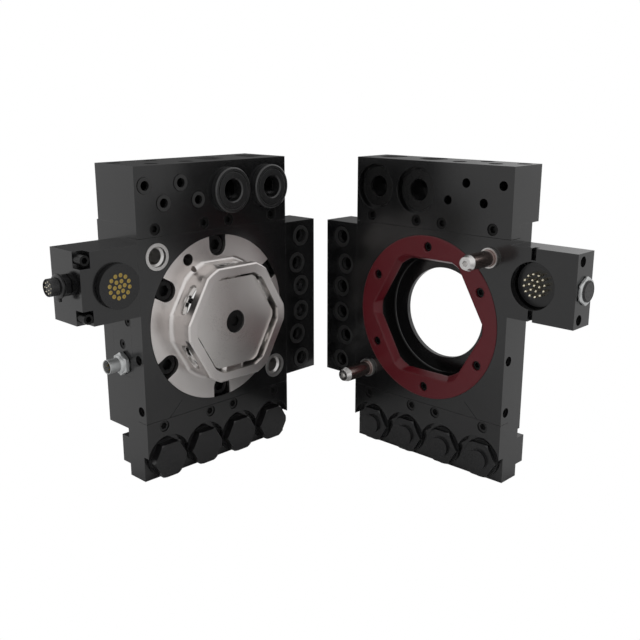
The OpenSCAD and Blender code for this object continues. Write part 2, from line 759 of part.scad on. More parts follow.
module drive_piston() color(GREY) master_face() {
    difference() {
        translate([0, 0, -piston_back]) cylinder(d = cylinder_d - 2 * slide_gap, h = piston_t);
        translate([0, 0, -piston_back + piston_t / 2 - seal_w / 2]) difference() {
            cylinder(d = cylinder_d + 2, h = seal_w);
            cylinder(d = cylinder_d - 2 * seal_h, h = seal_w);
        }
        translate([0, 0, -piston_back - 1]) cylinder(d = cam_screw_d / 2 + 2 * seat_gap, h = piston_t + 2);
    }
}

module piston_seal() color(DARK) master_face() {
    translate([0, 0, -piston_back + piston_t / 2 - seal_w / 2 + seat_gap]) difference() {
        cylinder(d = cylinder_d - 2 * slide_gap, h = seal_w - 2 * seat_gap);
        translate([0, 0, -1]) cylinder(d = cylinder_d - 2 * seal_h, h = seal_w + 2);
    }
}

// The round, soft-edged body that a lock bolt's nose is part of
module bolt_barrel() rotate_extrude() {
    square([nose_bend - nose_round, bolt_h]);
    translate([0, nose_round]) square([nose_bend, bolt_h - 2 * nose_round]);
    for (z = [nose_round, bolt_h - nose_round]) translate([nose_bend - nose_round, z]) circle(nose_round);
}

module lock_bolt(i) color(STEEL) master_face() rotate([0, 0, 60 * i - 30]) {
    difference() {
        intersection() {
            translate([0, 0, bolt_z + bolt_h / 2]) slug(bolt_w, bolt_h, nose_r);
            translate([nose_r - nose_bend, 0, bolt_z]) bolt_barrel();
            cam_face(slide_gap) translate([0, -bolt_w, -2 * head_h]) cube([head_flats, 2 * bolt_w, 3 * head_h]);
        }
        keeper(2 * slide_gap);
        translate([nose_r - bolt_groove_d, -bolt_groove_w / 2, 0]) cube([2 * bolt_groove_d, bolt_groove_w, head_h]);
    }
}

module guide_bushes() color(STEEL) master_half() for (p = pin_spots) difference() {
    bore(p, bush_d, 0, bush_l);
    bore(p, pin_d + 2 * slide_gap, -1, bush_l + 1);
    bore(p, collar_d + 2 * seat_gap, -1, collar_h + 0.5);
    translate([p[0], p[1], collar_h + 0.5]) cylinder(d1 = collar_d + 2 * seat_gap, d2 = pin_d + 2 * slide_gap,
        h = (collar_d - pin_d) / 2);
}

module robot_screws() color(DARK) master_half() {
    screw_set(robot_screws_at, robot_screw_d, master_depth - flange_t, flange_t - robot_screw_d);
    for (p = robot_screws_at) bore(p, robot_thread_d, master_depth - 1, master_depth + robot_thread);
}

module master_fluid_block() color(BLACK) master_half()
    difference() {
        fluid_block(master_block_depth, port_depth_back, large_depth, coupler_root_d + 2 * seat_gap,
            face_setback + coupler_root);
        for (p = small_ports) bore(p, seal_ring_d + 2 * seat_gap, -1, mouth);
    }

module fluid_couplers() color(DARK) master_half() for (p = large_ports) translate([p[0], p[1], 0]) rotate_extrude()
    polygon([[large_port_d / 2, face_setback + coupler_root], [large_port_d / 2, 1 - coupler_proud],
        [large_port_d / 2 + 1, -coupler_proud],
        [coupler_groove_r, -coupler_proud], [coupler_groove_r, coupler_groove - coupler_proud],
        [coupler_groove_r + coupler_groove, coupler_groove - coupler_proud],
        [coupler_groove_r + coupler_groove, -coupler_proud], [coupler_d / 2 - 1, -coupler_proud],
        [coupler_d / 2, 1 - coupler_proud], [coupler_d / 2, face_setback], [coupler_root_d / 2, face_setback],
        [coupler_root_d / 2, face_setback + coupler_root]]);

module ring_at(p, d, d_in, z0, z1) difference() {
    bore(p, d, z0, z1);
    bore(p, d_in, z0 - 1, z1 + 1);
}

module fluid_nipples() color(DARK) master_half()
    for (p = small_ports) ring_at(p, seal_ring_d, small_port_d, face_setback - seal_proud, mouth);

module master_block_screws() color(DARK) master_half()
    screw_set([for (x = lip_xs) [x, lip_high]], lip_screw_d, top_lip, lip_screw_sink);

module master_port_bank() color(BLACK) master_half() port_bank();

module port_seals() color(DARK) master_half()
    for (p = bank_ports) ring_at(p, bank_seal_d, port_mouth_d, face_setback - seal_proud, mouth);

module poppet(i) color(GREY) master_half() translate([bank_ports[i][0], bank_ports[i][1], 0]) {
    translate([0, 0, face_setback]) cylinder(d = port_d / 3, h = mouth + port_mouth_l);
    translate([0, 0, mouth + port_mouth_l]) cylinder(d = port_d - 2 * slide_gap, h = port_d - poppet_travel);
}

module signal_housing() color(BLACK) master_half() {
    left = -half_w - signal_w;
    difference() {
        span([left, -half_w], [signal_bottom, signal_top], [face_setback, signal_depth]);
        bore([-half_w - contact_x, contact_y], contact_d + 2 * seat_gap, -1, contact_t - contact_proud);
        for (y = [[signal_bottom - 1, signal_bottom + notch_h], [signal_top - notch_h, signal_top + 1]])
            span([left - 1, left + notch_w], y, [-1, notch_depth]);
        for (p = signal_spots()) bore(p, small_screw_d + 2 * seat_gap, 0, notch_depth + signal_screw_l + hole_over);
    }
}

function signal_spots() = [for (y = [signal_bottom + notch_h / 2, signal_top - notch_h / 2])
    [-half_w - signal_w + notch_w / 2, y]];

module signal_screws() color(DARK) master_half() for (p = signal_spots()) difference() {
    union() {
        bore(p, socket_head * small_screw_d, face_setback, notch_depth);
        bore(p, small_screw_d, notch_depth - 1, notch_depth + signal_screw_l);
    }
    translate([p[0], p[1], 0]) cylinder(d = small_screw_d, h = small_screw_d, $fn = 6);
}

module contact_disc() color(DARK) master_half() translate([-half_w - contact_x, contact_y, 0]) difference() {
    bore([0, 0], contact_d, -contact_proud, contact_t - contact_proud);
    for (p = contacts) bore(p, pad_d + seat_gap, -contact_proud - 1, 0);
}

module contact_pads() color(GOLD) master_half() translate([-half_w - contact_x, contact_y, 0]) for (p = contacts)
    difference() {
        bore(p, pad_d, -contact_proud, 0);
        bore(p, pad_d / 2, -contact_proud - 1, pad_dish - contact_proud);
    }

module signal_connector() master_half() translate([-half_w - signal_w, plug_y, signal_depth / 2])
    rotate([0, -90, 0]) round_connector(plug_l, m12_nut_h, m12_flats, m12_d, DARK)
    translate([0, 0, m12_nut_h]) cylinder(d = plug_sleeve_d, h = plug_sleeve_l);

module sensor_panel() color(BLACK) master_half() difference() {
    span([-half_w, panel_t - half_w], [signal_bottom - panel_h + seat_gap, signal_bottom],
        [panel_front + seat_gap, panel_front + panel_w - seat_gap]);
    panel_spots() {
        translate([0, 0, -1]) cylinder(d = socket_head * small_screw_d + 2 * seat_gap, h = 1 + small_screw_d / 2);
        cylinder(d = small_screw_d + 2 * seat_gap, h = panel_t + 1);
    }
}

module panel_screws() color(DARK) master_half() panel_spots() difference() {
    union() {
        translate([0, 0, 0.5]) cylinder(d = socket_head * small_screw_d, h = small_screw_d / 2 - 0.5);
        translate([0, 0, 0.5]) cylinder(d = small_screw_d, h = panel_t + 2 * small_screw_d);
    }
    cylinder(d = small_screw_d / 1.6, h = small_screw_d / 2, $fn = 6);
}

module sensor_connector() master_half()
    translate([-half_w, signal_bottom - panel_h + m12_flats / 2 + 1, panel_front + panel_w / 2])
    rotate([0, -90, 0]) round_connector(sensor_l, m12_nut_h, m12_flats, m12_d, GREY);

module master_side_screws() color(DARK) master_half() side_screws();

module master_power_block() color(BLACK) master_half() power_block();

// A plug's washer face and shank, then its hexagon from depth z on
module plug(z) {
    bore([0, 0], plug_washer_d, plug_recess - plug_washer_t, plug_recess);
    bore([0, 0], plug_shank_d, plug_recess - 1, plug_recess + plug_shank_l);
    h = plug_recess - z;
    translate([0, 0, z]) intersection() {
        cylinder(d = plug_flats / cos(30), h = h, $fn = 6);
        cylinder(d1 = plug_flats + plug_chamfer, d2 = plug_flats + plug_chamfer + 2 * h, h = h);
    }
}

module master_power_plugs() color(DARK) master_half()
    for (x = plug_xs) translate([x, -plug_drop, 0]) plug(-plug_proud);

module master_power_screws() color(DARK) master_half()
    screw_set([for (x = lip_xs) [x, lip_low]], lip_screw_d, bottom_lip, lip_screw_sink);

// Tool half

module tool_body() color(BLACK) tool_half() difference() {
    union() {
        body_blank(tool_depth);
        span([-half_w - ear_w, -half_w], [signal_bottom, signal_top], [face_setback, tool_signal_depth]);
    }
    bore([0, 0], flange_d + 2 * seat_gap, -1, ring_t);
    bore([0, 0], chamber_d, ring_t - 1, chamber_depth - chamber_chamfer);
    translate([0, 0, chamber_depth - chamber_chamfer])
        cylinder(d1 = chamber_d, d2 = chamber_d - 2 * chamber_chamfer, h = chamber_chamfer);
    bore([0, 0], pilot_d, chamber_depth - 1, tool_depth + 1);
    for (a = [0:60:300]) bore(bolt_r * [cos(a), sin(a)],
        0.85 * robot_screw_d, tool_depth - tool_thread_l, tool_depth + 1);
    for (p = ring_screws_at) bore(p, small_screw_d + 2 * seat_gap, ring_t - 1,
        ring_screw_sink + small_screw_d + ring_screw_l + hole_over);
    for (p = pin_spots) {
        bore(p, collar_d + 2 * seat_gap, -1, collar_h);
        bore(p, pin_root_d, collar_h - 1, pin_root);
    }
    contact_pocket();
    side_slots();
    side_holes();
}

// The recess for the master's contact disc, shared by the ear and the module
module contact_pocket() bore([-half_w - contact_x, contact_y], contact_d + 2 * contact_float, -1,
    contact_recess + contact_t);

// The slots between the tool half's body and module
module side_slots()
    for (y = [[signal_bottom - 1, signal_bottom + side_slot_h], [signal_top - side_slot_h, signal_top + 1]])
        span([-half_w - ear_w - side_slot_w / 2, side_slot_w / 2 - half_w - ear_w], y, [-1, side_slot_depth]);

module locking_ring() color(RED) tool_half() difference() {
    bore([0, 0], flange_d, 0, ring_t);
    hex_turned() {
        mouth_outline(head_flats / 2 + 2 * mouth_gap, flat_fillet - mouth_gap);
        mouth_outline(head_corner_d / 2 + 3 * mouth_gap, mouth_flare);
    }
    for (p = ring_screws_at) screw_hole(p, small_screw_d, ring_screw_l, ring_screw_sink);
}

// The mouth's outline at a side that lies at r at its back, wider by flare at its face
module mouth_outline(r, flare)
    side_outline(r + flare + flare / ring_t, -1, r - flare / ring_t, ring_t + 1);

module ring_screws() color(DARK) tool_half() screw_set(ring_screws_at, small_screw_d, ring_screw_l, ring_screw_sink);

module locating_pins() color(STEEL) tool_half() for (p = pin_spots) translate([p[0], p[1], 0]) difference() {
    rotate_extrude() polygon([[0, pin_root], [pin_root_d / 2, pin_root], [pin_root_d / 2, -collar_h],
        [pin_d / 2, -collar_h], [pin_d / 2, pin_nose - pin_reach], [pin_tip_d / 2, -pin_reach], [0, -pin_reach]]);
    translate([0, 0, -pin_reach - 1]) cylinder(d = pin_tip_d / 2, h = 4, $fn = 6);
}

module pin_collars() color(STEEL) tool_half() for (p = pin_spots) difference() {
    bore(p, collar_d, -collar_h, collar_h);
    bore(p, pin_root_d, -collar_h - 1, collar_h + 1);
}

module tool_fluid_block() color(BLACK) tool_half()
    fluid_block(tool_block_depth, tool_port_depth_back, tool_large_depth, coupler_d + 1, coupler_recess);

module coupler_seats() color(DARK) tool_half() for (p = large_ports) difference() {
    bore(p, coupler_d - 4, coupler_recess - coupler_seat_t, coupler_recess);
    bore(p, large_port_d, 0, coupler_recess + 1);
}

module tool_block_screws() color(DARK) tool_half()
    screw_set([for (x = lip_xs) [x, lip_high]], lip_screw_d, top_lip, lip_screw_sink);

module tool_port_bank() color(BLACK) tool_half() port_bank();

module tool_port_seals() color(DARK) tool_half()
    for (p = bank_ports) ring_at(p, bank_seal_d, port_mouth_d, mouth - 1, mouth);

module tool_signal_housing() color(BLACK) tool_half() difference() {
    span([-half_w - ear_w - tool_signal_w, -half_w - ear_w], [signal_bottom, signal_top],
        [face_setback, tool_signal_depth]);
    contact_pocket();
    side_slots();
    tool_signal_spots() {
        translate([0, 0, -1]) cylinder(d = socket_head * small_screw_d + 2 * seat_gap,
            h = 1 + screw_sink + small_screw_d);
        cylinder(d = small_screw_d + 2 * seat_gap, h = screw_sink + 3 * small_screw_d + hole_over);
    }
}

module tool_signal_spots() for (y = [signal_bottom + side_inset, signal_top - side_inset])
    translate([-half_w - ear_w - tool_signal_w, y, tool_signal_depth / 3]) rotate([0, 90, 0]) children();

module tool_signal_screws() color(DARK) tool_half()
    tool_signal_spots() translate([0, 0, screw_sink]) socket_screw(small_screw_d, 2 * small_screw_d);

module pin_insert() color(DARK) tool_half() translate([-half_w - contact_x, contact_y, 0]) difference() {
    bore([0, 0], contact_d, contact_recess, contact_recess + contact_t);
    for (p = contacts) bore(p, spring_pin_d + 2 * slide_gap, contact_recess - 1, contact_recess + contact_t);
}

module spring_pins() color(GOLD) tool_half() translate([-half_w - contact_x, contact_y, 0]) for (p = contacts)
    translate([p[0], p[1], 0]) rotate_extrude() polygon([[0, spring_pin_tip], [spring_pin_d / 4, spring_pin_tip],
        [spring_pin_d / 2, spring_pin_tip + spring_pin_d / 3],
        [spring_pin_d / 2, contact_recess + contact_t - 2 * spring_pin_travel],
        [0, contact_recess + contact_t - 2 * spring_pin_travel]]);

module tool_connector() tool_half()
    translate([-half_w - ear_w - tool_signal_w, contact_y, tool_signal_depth / 2 + 1.5])
    rotate([0, -90, 0]) round_connector(socket_l, socket_nut_h, socket_flats, socket_d, GREY);

module tool_side_screws() color(DARK) tool_half() side_screws();

module tool_power_block() color(BLACK) tool_half() power_block();

module tool_power_plugs() color(DARK) tool_half() for (x = plug_xs) translate([x, -plug_drop, 0]) {
    plug(tool_hex_depth);
    bore([0, 0], plug_boss_d, -tool_plug_proud, plug_recess);
}

module tool_power_screws() color(DARK) tool_half()
    screw_set([for (x = lip_xs) [x, lip_low]], lip_screw_d, bottom_lip, lip_screw_sink);

master_body();
coupling_flange();
locking_cam();
cam_screw();
drive_piston();
piston_seal();
lock_bolt(1);  // lock_bolt_1
lock_bolt(2);  // lock_bolt_2
lock_bolt(3);  // lock_bolt_3
lock_bolt(4);  // lock_bolt_4
lock_bolt(5);  // lock_bolt_5
lock_bolt(6);  // lock_bolt_6
guide_bushes();
robot_screws();
master_fluid_block();
fluid_couplers();
fluid_nipples();
master_block_screws();
master_port_bank();
port_seals();
poppet(2);  // poppet_upper
poppet(3);  // poppet_lower
signal_housing();
contact_disc();
contact_pads();
signal_connector();
signal_screws();
sensor_panel();
sensor_connector();
panel_screws();
master_side_screws();
master_power_block();
master_power_plugs();
master_power_screws();
tool_body();
locking_ring();
ring_screws();
locating_pins();
pin_collars();
tool_fluid_block();
coupler_seats();
tool_block_screws();
tool_port_bank();
tool_port_seals();
tool_signal_housing();
pin_insert();
spring_pins();
tool_connector();
tool_signal_screws();
tool_side_screws();
tool_power_block();
tool_power_plugs();
tool_power_screws();
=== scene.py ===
import json
import math

import bmesh
import bpy
import numpy as np
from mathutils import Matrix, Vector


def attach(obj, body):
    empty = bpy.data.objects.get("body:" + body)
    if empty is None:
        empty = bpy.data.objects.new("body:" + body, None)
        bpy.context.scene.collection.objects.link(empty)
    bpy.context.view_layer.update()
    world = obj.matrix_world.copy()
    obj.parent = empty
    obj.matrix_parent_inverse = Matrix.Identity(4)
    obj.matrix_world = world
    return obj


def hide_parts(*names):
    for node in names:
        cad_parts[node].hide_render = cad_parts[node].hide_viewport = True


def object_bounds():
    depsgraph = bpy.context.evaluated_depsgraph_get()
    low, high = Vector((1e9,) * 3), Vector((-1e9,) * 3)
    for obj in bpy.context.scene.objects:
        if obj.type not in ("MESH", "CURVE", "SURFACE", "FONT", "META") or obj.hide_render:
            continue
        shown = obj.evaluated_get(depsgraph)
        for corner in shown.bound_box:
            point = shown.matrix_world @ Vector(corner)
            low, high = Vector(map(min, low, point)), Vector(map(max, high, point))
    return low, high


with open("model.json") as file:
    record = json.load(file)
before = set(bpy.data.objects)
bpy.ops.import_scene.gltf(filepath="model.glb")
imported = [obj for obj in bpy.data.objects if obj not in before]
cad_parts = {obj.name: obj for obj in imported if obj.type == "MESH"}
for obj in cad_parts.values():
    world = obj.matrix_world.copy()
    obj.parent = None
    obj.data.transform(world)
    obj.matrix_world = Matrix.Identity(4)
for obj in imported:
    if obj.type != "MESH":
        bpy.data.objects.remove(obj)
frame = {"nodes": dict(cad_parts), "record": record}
CAD_BOX = [list(map(float, corner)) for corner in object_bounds()]
NODES = frame["nodes"]
SLOT_OF = {part["node"]: part["material_slot"] for part in frame["record"]["subparts"]}

# Where the coupling plane of each half stands, in millimetres
MASTER_FACE = 56.0
TOOL_FACE = 119.4
TOOL_AXIS = 185.3
# Height of the finest relief, in metres
BUMP_HEIGHT = 0.0002


# ---- Places ----


def on_master(p):
    """Points of the coupling frame (across, up, deep; mm) in the master half, in metres."""
    p = np.asarray(p, float)
    return np.stack([p[..., 0], p[..., 2] - MASTER_FACE, p[..., 1]], -1) / 1000


def on_tool(p):
    """Points of the coupling frame (across, up, deep; mm) in the tool half, in metres."""
    p = np.asarray(p, float)
    return np.stack([p[..., 2] + TOOL_FACE, p[..., 0] - TOOL_AXIS, p[..., 1]], -1) / 1000


def moved(grid, place, axes=("x", "y", "z")):
    """A grid whose own X, Y and Z run along the named axes, with its origin at place."""
    base = {"x": (1, 0, 0), "y": (0, 1, 0), "z": (0, 0, 1),
            "-x": (-1, 0, 0), "-y": (0, -1, 0), "-z": (0, 0, -1)}
    turn = np.array([base[a] for a in axes], float)
    return grid @ turn + np.asarray(place, float)


# ---- Surfaces ----


def turned(profile, steps=64):
    """A profile of (radius, height) turned round Z: [r cos a, r sin a, z]."""
    r, z = np.asarray(profile, float).T
    a = np.linspace(0, 2 * np.pi, steps, endpoint=False)
    a = a[None, :] + 0 * r[:, None]
    return np.stack([r[:, None] * np.cos(a), r[:, None] * np.sin(a), z[:, None] + 0 * a], -1)


def threaded(root_r, crest_r, pitch, z0, z1, cap_r=0.0, steps=48, rows=8):
    """A screw thread: the radius runs from root to crest and back once a pitch,
    shifted by a full pitch over one turn, and fades into the root at both ends.
    The rows start and end at cap_r, which closes a rod (0) or a lining."""
    count = int(rows * (z1 - z0) / pitch) + 1
    z = np.linspace(z0, z1, count)[:, None]
    a = np.linspace(0, 2 * np.pi, steps, endpoint=False)[None, :]
    wave = np.abs(((z / pitch - a / (2 * np.pi)) % 1) * 2 - 1)
    fade = np.clip(np.minimum(z - z0, z1 - z) / pitch, 0, 1)
    r = root_r + (crest_r - root_r) * np.clip(wave * 1.5 - 0.25, 0, 1) * fade
    grid = np.stack([r * np.cos(a), r * np.sin(a), z + 0 * a], -1)
    first, last = turned([(cap_r, z0)], steps), turned([(cap_r, z1)], steps)
    return np.concatenate([first, grid, last])


def hexagonal(flats, height, chamfer, hole_d=0.0, steps=96, lip=0.3, slope=2.2):
    """A nut: the radius is that of a hexagon, cut by a cone at each end, so its
    corners are chamfered, and a hole runs through it."""
    a = np.linspace(0, 2 * np.pi, steps, endpoint=False)
    side = flats / 2 / np.cos((a + np.pi / 6) % (np.pi / 3) - np.pi / 6)
    z = np.array([0, 0, chamfer / 2, chamfer, height - chamfer, height - chamfer / 2, height, height])
    cone = flats / 2 - lip + slope * np.minimum(z, height - z)
    r = np.minimum(side[None, :], cone[:, None])
    r[0] = r[-1] = hole_d / 2
    return np.stack([r * np.cos(a), r * np.sin(a), z[:, None] + 0 * r], -1)


def make_piece(name, grids, body, slot_name, replaced=(), closed_up=False):
    """One mesh of quads from grids of points, each closed round its second
    parameter (and round its first if closed_up), riding on a body."""
    verts, faces, start = [], [], 0
    for grid in grids:
        n, m = grid.shape[:2]
        i, j = np.meshgrid(np.arange(n if closed_up else n - 1), np.arange(m), indexing="ij")
        a, b = start + i * m + j, start + i * m + (j + 1) % m
        c, d = start + (i + 1) % n * m + (j + 1) % m, start + (i + 1) % n * m + j
        faces.append(np.stack([a, b, c, d], -1).reshape(-1, 4))
        verts.append(grid.reshape(-1, 3))
        start += n * m
    mesh = bpy.data.meshes.new(name)
    mesh.from_pydata(np.concatenate(verts).tolist(), [], np.concatenate(faces).tolist())
    work = bmesh.new()
    work.from_mesh(mesh)
    bmesh.ops.remove_doubles(work, verts=work.verts, dist=1e-7)
    bmesh.ops.dissolve_degenerate(work, edges=work.edges, dist=1e-7)
    bmesh.ops.recalc_face_normals(work, faces=work.faces)
    work.to_mesh(mesh)
    work.free()
    piece = bpy.data.objects.new(name, mesh)
    bpy.context.scene.collection.objects.link(piece)
    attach(piece, body)
    if replaced:
        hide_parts(*replaced)
    mesh.materials.append(OWN_FINISH_AND_PAINTED_LIGHT.get(name, MATERIALS[slot_name]))
    mesh.set_sharp_from_angle(angle=math.radians(40))
    return piece


# ---- Shader building ----


def add(tree, kind, inputs=None, **settings):
    """A shader node with its settings, and its inputs as numbers or other nodes' sockets."""
    node = tree.nodes.new("ShaderNode" + kind)
    for name, value in settings.items():
        setattr(node, name, value)
    for name, value in (inputs or {}).items():
        if isinstance(value, bpy.types.NodeSocket):
            tree.links.new(value, node.inputs[name])
        else:
            node.inputs[name].default_value = value
    return node


def new_group(name, takes, gives):
    """An empty shader node group with named inputs and outputs."""
    tree = bpy.data.node_groups.new(name, "ShaderNodeTree")
    for label, (kind, value) in takes.items():
        item = tree.interface.new_socket(label, in_out="INPUT", socket_type="NodeSocket" + kind)
        if value is not None:
            item.default_value = value
    for label, kind in gives.items():
        tree.interface.new_socket(label, in_out="OUTPUT", socket_type="NodeSocket" + kind)
    start = tree.nodes.new("NodeGroupInput")
    end = tree.nodes.new("NodeGroupOutput")
    return tree, start.outputs, end.inputs


def use(tree, group, inputs=None):
    """A node that uses a shared group."""
    node = tree.nodes.new("ShaderNodeGroup")
    node.node_tree = group
    for name, value in (inputs or {}).items():
        if isinstance(value, bpy.types.NodeSocket):
            tree.links.new(value, node.inputs[name])
        else:
            node.inputs[name].default_value = value
    return node.outputs


def mottle_group():
    """Broad soft clouds mixed with fine grain, between two levels."""
    tree, given, wanted = new_group("mottle", {
        "Size": ("Float", 30.0), "Grain": ("Float", 2500.0), "Low": ("Float", 0.0), "High": ("Float", 1.0)},
        {"Value": "Float", "Grain": "Float"})
    place = add(tree, "TexCoord").outputs["Object"]
    clouds = add(tree, "TexNoise", {"Vector": place, "Scale": given["Size"], "Detail": 3.0}).outputs["Fac"]
    grain = add(tree, "TexNoise", {"Vector": place, "Scale": given["Grain"], "Detail": 2.0}).outputs["Fac"]
    both = add(tree, "Math", {0: clouds, 1: grain}, operation="ADD").outputs[0]
    level = add(tree, "MapRange", {"Value": both, "From Min": 0.7, "From Max": 1.3,
                                   "To Min": given["Low"], "To Max": given["High"]})
    tree.links.new(level.outputs["Result"], wanted["Value"])
    tree.links.new(grain, wanted["Grain"])
    return tree


def edge_group():
    """Rounds the look of sharp edges, and gives a mask of where they are."""
    tree, given, wanted = new_group("soft edges", {"Radius": ("Float", 0.0004)},
                                    {"Normal": "Vector", "Edge": "Float"})
    soft = add(tree, "Bevel", {"Radius": given["Radius"]}, samples=4).outputs["Normal"]
    flat = add(tree, "NewGeometry").outputs["Normal"]
    along = add(tree, "VectorMath", {0: soft, 1: flat}, operation="DOT_PRODUCT").outputs["Value"]
    mask = add(tree, "MapRange", {"Value": along, "From Min": 1.0, "From Max": 0.75,
                                  "To Min": 0.0, "To Max": 1.0}).outputs["Result"]
    tree.links.new(soft, wanted["Normal"])
    tree.links.new(mask, wanted["Edge"])
    return tree


def turning_group():
    """Fine tool marks: noise along the distance from an axis through Centre, the
    axis being the direction that Plane leaves out."""
    tree, given, wanted = new_group("turning marks", {
        "Centre": ("Vector", None), "Plane": ("Vector", None), "Density": ("Float", 4000.0)},
        {"Value": "Float"})
    place = add(tree, "TexCoord").outputs["Object"]
    away = add(tree, "VectorMath", {0: place, 1: given["Centre"]}, operation="SUBTRACT").outputs[0]
    flat = add(tree, "VectorMath", {0: away, 1: given["Plane"]}, operation="MULTIPLY").outputs[0]
    reach = add(tree, "VectorMath", {0: flat}, operation="LENGTH").outputs["Value"]
    marks = add(tree, "TexNoise", {"W": reach, "Scale": given["Density"], "Detail": 2.0},
                noise_dimensions="1D").outputs["Fac"]
    tree.links.new(marks, wanted["Value"])
    return tree


MOTTLE = mottle_group()
EDGES = edge_group()
TURNING = turning_group()


def between(tree, mask, low, high):
    """A colour that runs from low to high with a mask."""
    mix = add(tree, "Mix", {"Factor": mask}, data_type="RGBA")
    mix.inputs[6].default_value = (*low, 1)
    mix.inputs[7].default_value = (*high, 1)
    return mix.outputs[2]


def finish_of(name, low, high, rough, metal=0.0, specular=0.5, edge=None, edge_radius=0.0004,
              bump=0.0, size=30.0, grain=2500.0, turning=None):
    """A surface finish: a base colour that drifts between two tones, roughness that
    drifts with it, soft edges that may get a lighter colour as a painted highlight, grain or turning marks as
    bump."""
    material = bpy.data.materials.new(name)
    material.use_nodes = True
    tree = material.node_tree
    shader = tree.nodes["Principled BSDF"]
    drift = use(tree, MOTTLE, {"Size": size, "Grain": grain})
    rim = use(tree, EDGES, {"Radius": edge_radius})
    colour = between(tree, drift["Value"], low, high)
    # Painted highlight: a lighter edge colour is mixed in along the Bevel edge mask.
    if edge:
        tint = add(tree, "Mix", {"Factor": rim["Edge"]}, data_type="RGBA")
        tree.links.new(colour, tint.inputs[6])
        tint.inputs[7].default_value = (*edge, 1)
        colour = tint.outputs[2]
    tree.links.new(colour, shader.inputs["Base Color"])
    level = add(tree, "MapRange", {"Value": drift["Value"], "To Min": rough[0], "To Max": rough[1]})
    tree.links.new(level.outputs["Result"], shader.inputs["Roughness"])
    height = drift["Grain"]
    if turning:
        height = use(tree, TURNING, {"Centre": turning[0], "Plane": turning[1]})["Value"]
    relief = add(tree, "Bump", {"Height": height, "Normal": rim["Normal"], "Strength": bump,
                                "Distance": BUMP_HEIGHT})
    tree.links.new(relief.outputs["Normal"], shader.inputs["Normal"])
    shader.inputs["Metallic"].default_value = metal
    shader.inputs["Specular IOR Level"].default_value = specular
    return material


def tinted(tree, shader, mask, colour):
    """Mixes a colour over a shader's base colour where a mask says so."""
    tint = add(tree, "Mix", {"Factor": mask}, data_type="RGBA")
    tree.links.new(shader.inputs["Base Color"].links[0].from_socket, tint.inputs[6])
    tint.inputs[7].default_value = (*colour, 1)
    tree.links.new(tint.outputs[2], shader.inputs["Base Color"])


def inside_bores(material, places, axis, radius, end, colour, specular):
    """Painted light or shade inside bores: a colour and a specular level mixed in by a mask of what lies
    within radius of their axes and not as far along them as end."""
    tree = material.node_tree
    shader = tree.nodes["Principled BSDF"]
    point = add(tree, "TexCoord").outputs["Object"]
    keep = tuple(0 if a else 1 for a in axis)
    along = add(tree, "VectorMath", {0: point, 1: axis}, operation="DOT_PRODUCT").outputs["Value"]
    before = add(tree, "Math", {0: along, 1: end}, operation="LESS_THAN").outputs[0]
    mask = None
    for place in places:
        away = add(tree, "VectorMath", {0: point, 1: place}, operation="SUBTRACT").outputs[0]
        flat = add(tree, "VectorMath", {0: away, 1: keep}, operation="MULTIPLY").outputs[0]
        reach = add(tree, "VectorMath", {0: flat}, operation="LENGTH").outputs["Value"]
        inside = add(tree, "Math", {0: reach, 1: radius}, operation="LESS_THAN").outputs[0]
        if mask is not None:
            inside = add(tree, "Math", {0: mask, 1: inside}, operation="MAXIMUM").outputs[0]
        mask = inside
    mask = add(tree, "Math", {0: mask, 1: before}, operation="MULTIPLY").outputs[0]
    # The colour mixed in here is painted light or shade, not the surface's own colour.
    tinted(tree, shader, mask, colour)
    gloss = add(tree, "MapRange", {"Value": mask, "To Min": shader.inputs["Specular IOR Level"].default_value,
                                   "To Max": specular})
    tree.links.new(gloss.outputs["Result"], shader.inputs["Specular IOR Level"])
    return material


def bright_beyond(material, point, axis, colour):
    """Bright bare metal on the far side of a plane through point, such as a pin's nose."""
    tree = material.node_tree
    shader = tree.nodes["Principled BSDF"]
    place = add(tree, "TexCoord").outputs["Object"]
    away = add(tree, "VectorMath", {0: place, 1: point}, operation="SUBTRACT").outputs[0]
    along = add(tree, "VectorMath", {0: away, 1: axis}, operation="DOT_PRODUCT").outputs["Value"]
    mask = add(tree, "Math", {0: along, 1: 0.0}, operation="GREATER_THAN").outputs[0]
    tinted(tree, shader, mask, colour)
    return material


def anodised(name):
    """Black anodised aluminium: nearly black, with clear reflections."""
    # The edge colour, lighter than the black, is a painted highlight along the edges.
    return finish_of(name, (0.003, 0.003, 0.0033), (0.005, 0.005, 0.0053), (0.17, 0.23), specular=0.62,
                     edge=(0.02, 0.02, 0.02), edge_radius=0.0003, bump=0.03)


# Centre and plane of the turning marks of each half
MASTER_TURN = ((0, 0, 0), (1, 0, 1))
TOOL_TURN = ((0, -TOOL_AXIS / 1000, 0), (0, 1, 1))
# The bores behind the bushes, where the body is painted light: axes, radius and where they end, in metres
BUSH_AXES = ((-0.0612, 0, 0.0603), (0.0634, 0, -0.0579))
BUSH_BORE = 0.0077
BUSH_BORE_END = -0.004
# Where the bright noses of the locating pins start
PIN_NOSE_X = 0.0905
# The chamber behind the locking ring, where the tool body is painted darker as shade
CHAMBER_R = 0.0575
CHAMBER_END = 0.1455

